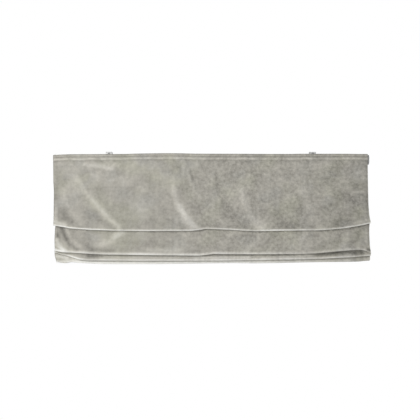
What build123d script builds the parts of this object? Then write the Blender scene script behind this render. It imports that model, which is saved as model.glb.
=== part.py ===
from build123d import *
from math import atan, degrees, hypot
import os

# A cordless roman blind, pulled up, hung from two clip brackets on a wall. Sizes are
# in millimetres, +X is to the viewer's right, +Y towards the wall and +Z up. The
# origin is on the wall, midway between the two wall screws. Depths are counted
# downwards from the rim, the top edge of the head rail.

os.makedirs("parts", exist_ok=True)

# The whole blind, which the lengths along the rail follow
blind_width = 800.0

# Clearances
fit_gap = 0.3
slide_gap = 0.2
running_gap = 0.1

# Head rail: an aluminium channel, open along the top and the bottom
rail_depth = 25.0
rail_height = 28.0
rail_wall = 1.2
top_lip = 3.5
top_channel = 4.0
bottom_lip = 3.0
rail_edge = 0.8
end_cap_plate = 3.0
end_cap_plug = 12.0
end_cap_corner = 2.0
end_cap_edge = 0.8
insert_corner = 1.0
rail_length = blind_width - 2 * end_cap_plate

# Clip brackets
bracket_plate = 1.5
bracket_width = 16.5
bracket_inset = 137.0
bracket_rise = 6.0
bracket_tail = 12.0
bracket_bend = 1.8
prong_gap = 6.5
prong_gap_top = 2.5
screw_hole_radius = 2.25
screw_below_rim = 10.0
ceiling_hole_reach = 15.0
rivet_radius = 1.5
rivet_head_radius = 2.4
rivet_head = 1.2
rivet_head_edge = 0.5
rivet_reach = 9.4
latch_post_radius = 2.6
latch_cam_half = 5.3
latch_cam_width = 4.0
latch_lever_length = 10.2
latch_lever_height = 1.5
latch_lever_corner = 1.2

# Touch tape that holds the cloth on the rail
tape_height = 20.0
tape_below_rim = 2.0
hook_tape_thick = 1.5
loop_tape_thick = 1.2
tape_gap = 0.1
tape_short_of_rail = 6.0

# Lift shaft, spools and cords
shaft_across_flats = 5.0
shaft_end_gap = 3.0
hub_radius = 4.0
bush_length = 8.0
spool_core_radius = 5.0
spool_flange_radius = 8.3
spool_flange = 1.2
spool_length = 44.0
spool_hub = 2.6
cord_radius = 0.6
end_cord_inset = 107.0
centre_cord_offset = -8.0
cord_from_flange = 3.5
cord_beside_turns = 1.6
cradle_plate = 2.0
cradle_base = 1.5
eyelet_radius = 1.9
eyelet_bore = 1.0
eyelet_below_rail = 1.0

# Spring motor that balances the cloth
motor_from_centre_cord = 98.0
motor_length = 78.0
motor_cover = 2.0
motor_hub_stub = 3.0
motor_corner = 2.5

# Rods, their sleeves and the cord rings, one row at each fold
rod_rows = 3
rod_radius = 2.0
rod_chamfer = 0.4
rod_short_of_cloth = 10.0
first_rod_depth = 59.0
rod_row_pitch = 14.0
sleeve_radius = 3.4
sleeve_bore = 2.4
sleeve_short_of_cloth = 6.0
ring_radius = 3.4
ring_bore = 1.8
ring_height = 2.0
clip_radius = 4.6
clip_width = 5.0
clip_mouth = 1.6
lock_radius = 3.0
lock_height = 8.0
lock_bore = 0.75
lock_taper = 6.0
lock_edge = 0.8
ring_to_sleeve = 0.6

# Velvet, as one folded sheet
cloth_thick = 1.6
cloth_short_of_blind = 2.0
cloth_above_rim = 0.5
layer_pitch = 2.2
header_seam = 6.0
header_ridge = 1.2
header_ridge_start = 9.5
header_ridge_end = 13.5
header_end = 18.0
fold_depths = (195.0, 257.0, 271.0)
fold_fronts = (46.0, 36.4, 27.4)
fold_widths = (7.2, 6.6, 6.0)
fold_slopes = (0.0, 0.005, 0.007)
left_lifts = (11.5, 7.0, 15.0)
right_lifts = (14.5, 8.0, 8.0)
kink_lifts = (4.3, 2.0, 0.0)
lift_reach = 120.0
kink_reach = 50.0
lift_stations = (0, 0.2, 0.45, 1)
header_bend = 3.0
apex_above_rod = 3.0
bend_below_rod = 1.5
large_bend = 6.0
apex_bend = 1.05

# Bottom hem with its weight bar
hem_depth = 278.0
hem_front = 19.2
hem_width = 5.0
hem_slope = 0.0078
hem_turn = 31.0
hem_bend = 1.9
hem_join_start = 3.0
hem_join_height = 4.0
hem_lap = 6.0
hem_join_bend = 2.0
bar_height = 24.0
bar_thick = 3.0
bar_above_hem = 1.5
bar_short_of_cloth = 16.0
bar_cap = 4.0
bar_cap_proud = 0.1
bar_edge = 0.6

# Lengths and places that follow from the sizes above
bracket_spacing = rail_length - 2 * bracket_inset
tape_length = rail_length - tape_short_of_rail
cloth_width = blind_width - cloth_short_of_blind
rod_length = cloth_width - rod_short_of_cloth
sleeve_length = cloth_width - sleeve_short_of_cloth
bar_length = cloth_width - bar_short_of_cloth
cord_columns = {
    "left": end_cord_inset - rail_length / 2,
    "centre": centre_cord_offset,
    "right": rail_length / 2 - end_cord_inset,
}
motor_start = centre_cord_offset + motor_from_centre_cord
rim_z = screw_below_rim
rail_back = -(bracket_plate + fit_gap)
rail_front = rail_back - rail_depth
rail_y = (rail_back + rail_front) / 2
inner_depth = rail_depth - 2 * rail_wall
slot_back = rail_back - rail_wall - top_lip
slot_front = rail_front + rail_wall + top_lip
web_top = rim_z - rail_wall - top_channel
chamber_top = web_top - rail_wall
chamber_floor = rim_z - rail_height + rail_wall
chamber_height = chamber_top - chamber_floor
shaft_z = (chamber_top + chamber_floor) / 2
cord_y = rail_y + spool_core_radius + running_gap + cord_radius
insert_depth = inner_depth - 2 * slide_gap
insert_height = chamber_height - 2 * slide_gap
cloth_y = rail_front - hook_tape_thick - loop_tape_thick - 2 * tape_gap - cloth_thick / 2
rod_y = cord_y - ring_radius - sleeve_radius - ring_to_sleeve
first_layer_y = rod_y - sleeve_radius - fit_gap - cloth_thick / 2
rod_depths = [first_rod_depth + row * rod_row_pitch for row in range(rod_rows)]
bar_tilt = degrees(atan(hem_slope))


def save(part, name):
    """Labels a finished piece and writes it as its own file."""
    part.label = name
    export_step(part, f"parts/{name}.step")


def offset_corners(points, amount):
    """The corners of a polyline moved sideways, mitred where two runs meet."""
    normals = []
    for (y0, z0), (y1, z1) in zip(points, points[1:]):
        run = hypot(y1 - y0, z1 - z0)
        normals.append(((z1 - z0) / run, -(y1 - y0) / run))
    moved = []
    for i, (y, z) in enumerate(points):
        before = normals[max(i - 1, 0)]
        after = normals[min(i, len(normals) - 1)]
        scale = amount / (1 + before[0] * after[0] + before[1] * after[1])
        moved.append((y + (before[0] + after[0]) * scale, z + (before[1] + after[1]) * scale))
    return moved


def turn_side(a, b, c):
    """Positive where the path turns one way at b, negative where it turns the other."""
    return (b[0] - a[0]) * (c[1] - b[1]) - (b[1] - a[1]) * (c[0] - b[0])


def sheet_sides(points, bends, thickness):
    """The corners and bend radii of a bent sheet's two faces, from its middle line."""
    turns = [turn_side(*points[i : i + 3]) for i in range(len(points) - 2)]
    half = thickness / 2
    near = [b + (half if t > 0 else -half) for b, t in zip(bends, turns)]
    far = [b - (half if t > 0 else -half) for b, t in zip(bends, turns)]
    return (offset_corners(points, half), near), (offset_corners(points, -half), far)


# Head rail
with BuildPart() as headrail:
    with BuildSketch(Plane.YZ):
        with Locations((rail_y, rim_z - rail_height / 2)):
            RectangleRounded(rail_depth, rail_height, rail_edge)
        with Locations((rail_y, shaft_z)):
            Rectangle(inner_depth, chamber_height, mode=Mode.SUBTRACT)
        with Locations((rail_y, web_top + top_channel / 2)):
            Rectangle(inner_depth, top_channel, mode=Mode.SUBTRACT)
        with Locations((rail_y, rim_z)):
            Rectangle(inner_depth - 2 * top_lip, 4 * rail_wall, mode=Mode.SUBTRACT)
        with Locations((rail_y, chamber_floor)):
            Rectangle(inner_depth - 2 * bottom_lip, 4 * rail_wall, mode=Mode.SUBTRACT)
    extrude(amount=rail_length / 2, both=True)
save(headrail.part, "headrail")

# End caps, with a plug in the rail and a bearing for the shaft
for side, name in ((-1, "end_cap_left"), (1, "end_cap_right")):
    inward = Plane(
        origin=(side * rail_length / 2, rail_y, 0), x_dir=(0, 1, 0), z_dir=(-side, 0, 0)
    )
    up = 1 if inward.y_dir.Z > 0 else -1
    with BuildPart() as end_cap:
        with BuildSketch(inward):
            with Locations((0, up * (rim_z - rail_height / 2))):
                RectangleRounded(rail_depth, rail_height, end_cap_corner)
        extrude(amount=-end_cap_plate)
        with BuildSketch(inward):
            with Locations((0, up * shaft_z)):
                RectangleRounded(insert_depth, insert_height, insert_corner)
        extrude(amount=end_cap_plug)
        with BuildSketch(inward):
            with Locations((0, up * shaft_z)):
                Circle(hub_radius + running_gap)
        extrude(amount=end_cap_plug, mode=Mode.SUBTRACT)
        fillet(end_cap.faces().sort_by(Axis.X)[0 if side < 0 else -1].edges(), end_cap_edge)
    save(end_cap.part, name)

# Lift shaft with a bush at each end
shaft_length = rail_length - 2 * shaft_end_gap
with BuildPart() as lift_shaft:
    with BuildSketch(Plane.YZ):
        with Locations((rail_y, shaft_z)):
            RegularPolygon(shaft_across_flats / 2, 6, major_radius=False)
    extrude(amount=shaft_length / 2, both=True)
save(lift_shaft.part, "lift_shaft")


for side, name in ((-1, "shaft_bush_left"), (1, "shaft_bush_right")):
    start = side * shaft_length / 2 - (0 if side < 0 else bush_length)
    with BuildPart() as shaft_bush:
        with BuildSketch(Plane.YZ.offset(start)):
            with Locations((rail_y, shaft_z)):
                Circle(hub_radius)
        extrude(amount=bush_length)
        with BuildSketch(Plane.YZ.offset(start)):
            with Locations((rail_y, shaft_z)):
                RegularPolygon(shaft_across_flats / 2 + running_gap, 6, major_radius=False)
        extrude(amount=bush_length, mode=Mode.SUBTRACT)
    save(shaft_bush.part, name)

# Cord spools, their cradles, the wound turns and the hanging cords
lock_top = rim_z - rod_depths[-1] - ring_height / 2 - fit_gap
for column, cord_x in cord_columns.items():
    spool_end = cord_x + cord_from_flange
    spool_start = spool_end - spool_length
    with BuildPart() as cord_spool:
        with BuildSketch(Plane.YZ.offset(spool_start)):
            with Locations((rail_y, shaft_z)):
                Circle(spool_core_radius)
        extrude(amount=spool_length)
        for flange_x in (spool_start - spool_flange, spool_end):
            with BuildSketch(Plane.YZ.offset(flange_x)):
                with Locations((rail_y, shaft_z)):
                    Circle(spool_flange_radius)
            extrude(amount=spool_flange)
        hub_start = spool_start - spool_flange - spool_hub
        hub_end = spool_end + spool_flange + spool_hub
        with BuildSketch(Plane.YZ.offset(hub_start)):
            with Locations((rail_y, shaft_z)):
                Circle(hub_radius)
        extrude(amount=hub_end - hub_start)
        with BuildSketch(Plane.YZ.offset(hub_start)):
            with Locations((rail_y, shaft_z)):
                RegularPolygon(shaft_across_flats / 2 + running_gap, 6, major_radius=False)
        extrude(amount=hub_end - hub_start, mode=Mode.SUBTRACT)
    save(cord_spool.part, f"cord_spool_{column}")

    plate_places = (
        spool_start - spool_flange - fit_gap - cradle_plate,
        spool_end + spool_flange + fit_gap,
    )
    base_z = chamber_floor + slide_gap
    with BuildPart() as spool_cradle:
        with BuildSketch(Plane.XY.offset(base_z)):
            with Locations(((plate_places[0] + plate_places[1] + cradle_plate) / 2, rail_y)):
                Rectangle(plate_places[1] + cradle_plate - plate_places[0], insert_depth)
        extrude(amount=cradle_base)
        for plate_x in plate_places:
            with BuildSketch(Plane.YZ.offset(plate_x)):
                with Locations((rail_y, shaft_z)):
                    Rectangle(insert_depth, insert_height)
            extrude(amount=cradle_plate)
        with BuildSketch(Plane.XY.offset(rim_z - rail_height - eyelet_below_rail)):
            with Locations((cord_x, cord_y)):
                Circle(eyelet_radius)
        extrude(until=Until.NEXT)
        with BuildSketch(Plane.YZ.offset(plate_places[0])):
            with Locations((rail_y, shaft_z)):
                Circle(hub_radius + running_gap)
        extrude(amount=plate_places[1] + cradle_plate - plate_places[0], mode=Mode.SUBTRACT)
        with BuildSketch(Plane.XY.offset(rim_z - rail_height - eyelet_below_rail)):
            with Locations((cord_x, cord_y)):
                Circle(eyelet_bore)
        extrude(
            amount=base_z + cradle_base - (rim_z - rail_height - eyelet_below_rail),
            mode=Mode.SUBTRACT,
        )
    save(spool_cradle.part, f"spool_cradle_{column}")

    turns_start = spool_start + slide_gap
    with BuildPart() as cord_turns:
        with BuildSketch(Plane.YZ.offset(turns_start)):
            with Locations((rail_y, shaft_z)):
                Circle(spool_core_radius + running_gap + 2 * cord_radius)
                Circle(spool_core_radius + running_gap, mode=Mode.SUBTRACT)
        extrude(amount=cord_x - cord_beside_turns - turns_start)
    save(cord_turns.part, f"cord_turns_{column}")

    with BuildPart() as lift_cord:
        with BuildSketch(Plane.XY.offset(lock_top - lock_height)):
            with Locations((cord_x, cord_y)):
                Circle(cord_radius)
        extrude(amount=shaft_z - (lock_top - lock_height))
    save(lift_cord.part, f"lift_cord_{column}")

    with BuildPart() as cord_lock:
        with BuildSketch(Plane.XY.offset(lock_top)):
            with Locations((cord_x, cord_y)):
                Circle(lock_radius)
        extrude(amount=-lock_height, taper=lock_taper)
        fillet(cord_lock.faces().sort_by(Axis.Z)[0].edges(), lock_edge)
        with BuildSketch(Plane.XY.offset(lock_top)):
            with Locations((cord_x, cord_y)):
                Circle(lock_bore)
        extrude(amount=-lock_height, mode=Mode.SUBTRACT)
    save(cord_lock.part, f"cord_lock_{column}")

# Spring motor: a closed case round a hub that turns with the shaft
with BuildPart() as motor_case:
    with BuildSketch(Plane.YZ.offset(motor_start)):
        with Locations((rail_y, shaft_z)):
            RectangleRounded(insert_depth, insert_height, motor_corner)
            Circle(hub_radius + running_gap, mode=Mode.SUBTRACT)
    extrude(amount=motor_length)
save(motor_case.part, "spring_motor_case")

with BuildPart() as motor_lid:
    with BuildSketch(Plane.YZ.offset(motor_start + motor_length + slide_gap)):
        with Locations((rail_y, shaft_z)):
            RectangleRounded(insert_depth, insert_height, motor_corner)
            Circle(hub_radius + running_gap, mode=Mode.SUBTRACT)
    extrude(amount=motor_cover)
save(motor_lid.part, "spring_motor_cover")

motor_hub_length = motor_length + slide_gap + motor_cover + 2 * motor_hub_stub
with BuildPart() as motor_hub:
    with BuildSketch(Plane.YZ.offset(motor_start - motor_hub_stub)):
        with Locations((rail_y, shaft_z)):
            Circle(hub_radius)
    extrude(amount=motor_hub_length)
    with BuildSketch(Plane.YZ.offset(motor_start - motor_hub_stub)):
        with Locations((rail_y, shaft_z)):
            RegularPolygon(shaft_across_flats / 2 + running_gap, 6, major_radius=False)
    extrude(amount=motor_hub_length, mode=Mode.SUBTRACT)
save(motor_hub.part, "spring_motor_hub")

# Clip brackets with their swivelling latches
bracket_z = rim_z + bracket_rise - bracket_plate / 2
hook_y = slot_front + fit_gap + bracket_plate / 2
hook_z = rim_z - rail_wall - fit_gap - bracket_plate / 2
bracket_path = [
    (-bracket_plate / 2, -bracket_tail),
    (-bracket_plate / 2, bracket_z),
    (hook_y, bracket_z),
    (hook_y, hook_z),
    (rail_front + rail_wall + 2 * fit_gap, hook_z),
]
bracket_near, bracket_far = sheet_sides(bracket_path, [bracket_bend] * 3, bracket_plate)
cam_z = rim_z - rail_wall - fit_gap - bracket_plate
lever_top = bracket_z - bracket_plate / 2 - fit_gap
for side, name in ((-1, "left"), (1, "right")):
    bracket_x = side * bracket_spacing / 2
    with BuildPart() as bracket:
        with BuildSketch(Plane.YZ.offset(bracket_x)):
            with BuildLine():
                side_a = FilletPolyline(*bracket_near[0], radius=bracket_near[1])
                side_b = FilletPolyline(*bracket_far[0], radius=bracket_far[1])
                Line(side_a @ 0, side_b @ 0)
                Line(side_a @ 1, side_b @ 1)
            make_face()
        extrude(amount=bracket_width / 2, both=True)
        with Locations((bracket_x, hook_y, rim_z + prong_gap_top)):
            Box(
                prong_gap,
                8 * bracket_plate,
                bracket_rise * 3,
                align=(Align.CENTER, Align.CENTER, Align.MAX),
                mode=Mode.SUBTRACT,
            )
        with BuildSketch(Plane.XZ):
            with Locations((bracket_x, 0)):
                Circle(screw_hole_radius)
        extrude(amount=bracket_plate, mode=Mode.SUBTRACT)
        with BuildSketch(Plane.XY.offset(bracket_z - bracket_plate)):
            with Locations((bracket_x, -ceiling_hole_reach)):
                Circle(screw_hole_radius)
            with Locations((bracket_x, -rivet_reach)):
                Circle(rivet_radius)
        extrude(amount=2 * bracket_plate, mode=Mode.SUBTRACT)
    save(bracket.part, f"mounting_bracket_{name}")

    with BuildPart() as latch:
        with BuildSketch(Plane.XY.offset(cam_z)):
            with Locations((bracket_x, -rivet_reach)):
                SlotOverall(2 * latch_cam_half, latch_cam_width, rotation=90)
        extrude(amount=bracket_plate)
        with BuildSketch(Plane.XY.offset(cam_z)):
            with Locations((bracket_x, -rivet_reach)):
                Circle(latch_post_radius)
        extrude(amount=lever_top - cam_z)
        with BuildSketch(Plane.XY.offset(lever_top - latch_lever_height)):
            with Locations((bracket_x, -rivet_reach - latch_lever_length / 2)):
                RectangleRounded(2 * latch_post_radius, latch_lever_length, latch_lever_corner)
        extrude(amount=latch_lever_height)
        with BuildSketch(Plane.XY.offset(cam_z)):
            with Locations((bracket_x, -rivet_reach)):
                Circle(rivet_radius + running_gap)
        extrude(amount=lever_top - cam_z, mode=Mode.SUBTRACT)
    save(latch.part, f"bracket_latch_{name}")

    with BuildPart() as rivet:
        with BuildSketch(Plane.XY.offset(cam_z - fit_gap)):
            with Locations((bracket_x, -rivet_reach)):
                Circle(rivet_head_radius)
        extrude(amount=-rivet_head)
        fillet(rivet.faces().sort_by(Axis.Z)[0].edges(), rivet_head_edge)
        with BuildSketch(Plane.XY.offset(cam_z - fit_gap)):
            with Locations((bracket_x, -rivet_reach)):
                Circle(rivet_radius)
        extrude(amount=bracket_z + bracket_plate / 2 - (cam_z - fit_gap))
    save(rivet.part, f"latch_rivet_{name}")

# Touch tape on the rail and on the back of the cloth
hook_y_place = rail_front - hook_tape_thick / 2
loop_y_place = rail_front - hook_tape_thick - tape_gap - loop_tape_thick / 2
for name, tape_y, tape_thick in (
    ("hook_tape", hook_y_place, hook_tape_thick),
    ("loop_tape", loop_y_place, loop_tape_thick),
):
    with BuildPart() as tape:
        with Locations((0, tape_y, rim_z - tape_below_rim - tape_height / 2)):
            Box(tape_length, tape_thick, tape_height)
    save(tape.part, name)

# Rods in sewn sleeves, with a cord ring at each column
for row, depth in enumerate(rod_depths, start=1):
    row_z = rim_z - depth
    with BuildPart() as rod:
        with BuildSketch(Plane.YZ):
            with Locations((rod_y, row_z)):
                Circle(rod_radius)
        extrude(amount=rod_length / 2, both=True)
        chamfer(rod.faces().filter_by(Plane.YZ).edges(), rod_chamfer)
    save(rod.part, f"rod_{row}")

    with BuildPart() as sleeve:
        with BuildSketch(Plane.YZ):
            with Locations((rod_y, row_z)):
                Circle(sleeve_radius)
                Circle(sleeve_bore, mode=Mode.SUBTRACT)
        extrude(amount=sleeve_length / 2, both=True)
    save(sleeve.part, f"rod_sleeve_{row}")

    for column, cord_x in cord_columns.items():
        with BuildPart() as ring:
            with BuildSketch(Plane.YZ.offset(cord_x)):
                with Locations((rod_y, row_z)):
                    Circle(clip_radius)
                    Circle(sleeve_radius + running_gap, mode=Mode.SUBTRACT)
                with Locations((rod_y - clip_mouth, row_z)):
                    Rectangle(
                        2 * clip_radius,
                        2 * clip_radius,
                        align=(Align.MAX, Align.CENTER),
                        mode=Mode.SUBTRACT,
                    )
            extrude(amount=clip_width / 2, both=True)
            with BuildSketch(Plane.XY.offset(row_z)):
                with Locations((cord_x, cord_y)):
                    Circle(ring_radius)
                    Circle(ring_bore, mode=Mode.SUBTRACT)
            extrude(amount=ring_height / 2, both=True)
        save(ring.part, f"cord_ring_{row}_{column}")

# Weight bar in the hem, with a cap on each end
bar_y = -(hem_front - hem_width / 2)
bar_bottom = rim_z - hem_depth + cloth_thick + bar_above_hem
bar_plane = Plane(origin=(0, bar_y, bar_bottom + bar_height / 2)).rotated((0, -bar_tilt, 0))
with BuildPart() as bottom_bar:
    with BuildSketch(bar_plane):
        Rectangle(bar_length, bar_thick)
    extrude(amount=bar_height / 2, both=True)
    fillet(bottom_bar.edges().filter_by(Axis(bar_plane.origin, bar_plane.x_dir)), bar_edge)
save(bottom_bar.part, "bottom_bar")

for side, name in ((-1, "left"), (1, "right")):
    with BuildPart() as bar_end:
        with BuildSketch(bar_plane):
            with Locations((side * (bar_length + bar_cap) / 2, 0)):
                Rectangle(bar_cap, bar_thick + 2 * bar_cap_proud)
        extrude(amount=bar_height / 2, both=True)
        fillet(bar_end.edges().filter_by(Axis(bar_plane.origin, bar_plane.x_dir)), bar_edge)
    save(bar_end.part, f"bottom_bar_cap_{name}")


def lift_share(distance, reach):
    """How much of a fold's rise is reached this far in from where it is full."""
    return max(0.0, 1 - distance / reach)


def fold_depth(fold, x):
    """A fold's depth at x: lower in the middle, rising at the ends and at the middle cord."""
    left = left_lifts[fold] * lift_share(cloth_width / 2 + x, lift_reach) ** 2
    right = right_lifts[fold] * lift_share(cloth_width / 2 - x, lift_reach) ** 2
    kink = kink_lifts[fold] * lift_share(abs(x - cord_columns["centre"]), kink_reach)
    return fold_depths[fold] - left - right - kink - fold_slopes[fold] * x


def layer_y(layer):
    """The middle of a layer of cloth at the rods, counted forwards from the sleeve it is sewn to."""
    return first_layer_y - layer * layer_pitch


def fold_path(fold, x):
    """One fold as (y, depth) points with their bend radii: down to its lowest edge, up behind
    that to the rod it is sewn to and, above the last rod, down again."""
    bottom = fold_depth(fold, x) - cloth_thick / 2
    front = -fold_fronts[fold]
    apex = rod_depths[fold] - apex_above_rod
    rows_below = range(fold + 1, rod_rows)
    points = [(front, bottom), (front + fold_widths[fold], bottom)]
    bends = [(fold_widths[fold] - slide_gap) / 2] * 2
    for row in reversed(rows_below):
        points.append((layer_y(2 * (row - fold) + 1), rod_depths[row] - apex_above_rod - bend_below_rod))
        bends.append(large_bend)
    if rows_below:
        points.append((layer_y(1), rod_depths[fold] + bend_below_rod))
        bends.append(large_bend)
    points += [(layer_y(1), apex), (layer_y(0), apex)]
    bends += [apex_bend] * 2
    if rows_below:
        points.append((layer_y(0), rod_depths[fold] + bend_below_rod))
        bends.append(large_bend)
    for row in rows_below:
        points.append((layer_y(2 * (row - fold)), rod_depths[row] - apex_above_rod - bend_below_rod))
        bends.append(large_bend)
    return points, bends


def hem_path(x):
    """The hem as (y, depth) points with their bend radii: under the bar and up behind it."""
    bottom = hem_depth - hem_slope * x - cloth_thick / 2
    back = -(hem_front - hem_width)
    stitched = -hem_front + cloth_thick + fit_gap
    join_start = bottom - hem_turn + hem_join_start
    join_end = join_start - hem_join_height
    points = [
        (-hem_front, bottom - 2 * hem_turn),
        (-hem_front, bottom),
        (back, bottom),
        (back, join_start),
        (stitched, join_end),
        (stitched, join_end - hem_lap),
    ]
    return points, [large_bend, hem_bend, hem_bend, hem_join_bend, hem_join_bend]


def cloth_path(x):
    """The middle line of the folded velvet at x as (y, z) points, from its top edge to the
    end of its hem, with the radius of each bend."""
    points = [
        (cloth_y, -cloth_above_rim),
        (cloth_y, header_seam),
        (cloth_y - header_ridge, header_ridge_start),
        (cloth_y - header_ridge, header_ridge_end),
        (cloth_y, header_end),
    ]
    bends = [header_bend] * 4
    stretches = [fold_path(fold, x) for fold in range(rod_rows)] + [hem_path(x)]
    for more_points, more_bends in stretches:
        points += more_points
        bends += more_bends
    return [(y, rim_z - depth) for y, depth in points], bends


# Velvet: lofted through sections, closer together where its folds rise
half_cloth = cloth_width / 2
centre_x = cord_columns["centre"]
stations = [-half_cloth + share * lift_reach for share in lift_stations]
stations += [centre_x - kink_reach, centre_x, centre_x + kink_reach]
stations += [half_cloth - share * lift_reach for share in reversed(lift_stations)]
with BuildPart() as velvet:
    for x in stations:
        near, far = sheet_sides(*cloth_path(x), cloth_thick)
        with BuildSketch(Plane.YZ.offset(x)):
            with BuildLine():
                side_a = FilletPolyline(*near[0], radius=near[1])
                side_b = FilletPolyline(*far[0], radius=far[1])
                Line(side_a @ 0, side_b @ 0)
                Line(side_a @ 1, side_b @ 1)
            make_face()
    loft(ruled=True)
save(velvet.part, "velvet")
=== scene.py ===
from math import pi, tan

import bpy
import numpy as np
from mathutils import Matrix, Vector


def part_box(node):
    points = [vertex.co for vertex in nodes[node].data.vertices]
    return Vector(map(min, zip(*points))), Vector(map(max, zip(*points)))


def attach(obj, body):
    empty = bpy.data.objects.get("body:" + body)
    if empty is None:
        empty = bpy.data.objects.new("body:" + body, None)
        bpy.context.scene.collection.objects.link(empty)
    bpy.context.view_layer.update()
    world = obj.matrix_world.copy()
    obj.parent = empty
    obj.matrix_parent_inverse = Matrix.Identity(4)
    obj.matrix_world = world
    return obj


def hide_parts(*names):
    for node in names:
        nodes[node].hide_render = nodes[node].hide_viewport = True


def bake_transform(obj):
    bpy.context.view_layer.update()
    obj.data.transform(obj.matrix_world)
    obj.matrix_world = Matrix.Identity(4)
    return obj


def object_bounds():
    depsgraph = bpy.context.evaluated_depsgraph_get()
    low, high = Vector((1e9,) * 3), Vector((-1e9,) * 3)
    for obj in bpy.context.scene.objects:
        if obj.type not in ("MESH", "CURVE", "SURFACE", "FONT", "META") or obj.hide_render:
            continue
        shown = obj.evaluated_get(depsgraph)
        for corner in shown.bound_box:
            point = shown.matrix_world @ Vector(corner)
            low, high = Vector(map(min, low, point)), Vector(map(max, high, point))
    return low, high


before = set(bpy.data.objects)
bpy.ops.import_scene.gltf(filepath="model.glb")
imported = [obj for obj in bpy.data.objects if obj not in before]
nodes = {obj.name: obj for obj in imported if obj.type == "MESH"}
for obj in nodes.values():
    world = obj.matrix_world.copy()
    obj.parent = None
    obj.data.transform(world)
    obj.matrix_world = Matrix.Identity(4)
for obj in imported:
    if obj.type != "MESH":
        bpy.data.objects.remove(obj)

# A velvet roman blind, pulled up. Lengths are in millimetres until a mesh is made,
# and depths are counted downwards from the rim of the head rail.
MM = 0.001
cad_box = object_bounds()


def box_mm(node):
    """A CAD node's lowest and highest corner in millimetres."""
    lowest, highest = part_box(node)
    return np.array(lowest) / MM, np.array(highest) / MM


def middle_mm(node):
    """The middle of a CAD node's box in millimetres."""
    lowest, highest = box_mm(node)
    return (lowest + highest) / 2


def size_mm(node):
    """The size of a CAD node's box in millimetres."""
    lowest, highest = box_mm(node)
    return highest - lowest


# Places that come from the frame
rail_low, rail_high = box_mm("headrail")
rim_z = rail_high[2]
half_cloth = box_mm("velvet")[1][0]
blind_width = (cad_box[1].x - cad_box[0].x) / MM
rod_y = middle_mm("rod_1")[1]
rod_depths = [rim_z - middle_mm(f"rod_{row}")[2] for row in (1, 2, 3)]
sleeve_radius = size_mm("rod_sleeve_1")[2] / 2
tape_front = box_mm("loop_tape")[0][1]
cord_radius = size_mm("lift_cord_left")[0] / 2
bodies = ("rail", "rod_row_1", "rod_row_2", "rod_row_3")

# The photograph: one pixel's size, and where the blind's middle and its rim lie in it
photo_side = 420
blind_pixels = 315.0
photo_middle_x = 210.8
photo_rim_y = 153.9
pixel = blind_width / blind_pixels

# Velvet: its thickness, its layers at the rods, and how far forward each fold stands
cloth_thick = 1.6
tape_gap = 0.1
cloth_y = tape_front - tape_gap - cloth_thick / 2
layer_pitch = 2.2
sleeve_gap = 0.3
first_layer_y = rod_y - sleeve_radius - sleeve_gap - cloth_thick / 2
fold_fronts = (46.0, 36.4, 27.4)
fold_widths = (7.2, 6.6, 6.0)
turn_slack = 0.1
behind_inset = 3.0

# Velvet that shows on the back: at the sides, and above a fold's lowest edge
side_hem = 38.0
fold_turn = 12.0

# The hem: its front and width, the pocket round the weight bar, and the lap sewn above it
hem_front = 19.2
hem_width = 5.0
hem_turn = 31.0
hem_pocket = 28.0
hem_step = 4.0
hem_lap = 6.0
hem_gap = 0.3
hem_thinner = 0.2
hem_bends = [30.0, 1.9, 1.9, 2.0, 2.0]

# Where it bends: over a rod, below the rod it is sewn to, past the rods below that one,
# in the swell of the front, and behind the fold in front
apex_above_rod = 3.0
apex_bend = 1.05
sewn_below_rod = 1.5
sewn_bend = 6.0
pass_above_rod = 4.5
pass_bend_behind = 12.0
pass_bend_front = 14.0
swell_start = 30.0
swell_depth = 90.0
swell_forward = 7.5
swell_bends = [160.0, 420.0]
tuck_gap = 0.4
tuck_height = 24.0
tuck_bend = 160.0

# Mesh steps along and across the cloth, and the lengths at its ends that take the fine one
column_step = 2.6
coarse_row = 2.8
hidden_row = 6.0
fine_row = 0.8
fine_header = 22.0
fine_edge = 14.0
fine_apex = 10.0
fine_hem = 52.0

# Lengths over which one form of the cloth fades into another: where it comes to hang
# free, at a lowest edge, behind a fold, and above the hem's edge
hang_fade = 40.0
edge_fade = 12.0
lap_fade = 8.0
hem_fade = 20.0

# How far below the top edge its waves start and its marks start, and where those are full
waves_start = 20.0
marks_start = 8.0
marks_full = 18.0

# The panel's sides: how far they bend back and over what width, and how much painted shade
# darkens them, over what width on the left and on the right
side_drop = 2.0
side_width = 5.0
side_dark = 0.1
dark_left = 6.0
dark_right = 4.0

# Rows of the header below its top edge: place, half width, height and tone, which is painted shade
# at its top fold, stitch line and groove and a painted highlight on its welt and ridge
header_edge = (0.6, 1.7, -0.7, -0.24)
header_welt = (4.0, 1.4, 0.0, 0.10)
header_seam = (7.2, 1.1, -1.0, -0.18)
header_ridge = (12.8, 2.0, 1.3, 0.28)
header_groove = (17.6, 2.2, -0.5, -0.13)

# How uneven the header and its painted light are: amount, wavelength and seed
header_wander = (0.5, 60, 11)
header_broken = (0.35, 24, 12)
header_welt_light_uneven = (1, 40, 13)

# Waves of each part: height, wavelength and seed
panel_waves = ((0.9, 170, 1), (0.4, 60, 2), (0.14, 20, 3))
second_waves = ((0.5, 90, 21), (0.2, 30, 22))
third_waves = ((0.5, 90, 31), (0.2, 30, 32))
hem_waves = ((0.4, 70, 41),)

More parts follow.
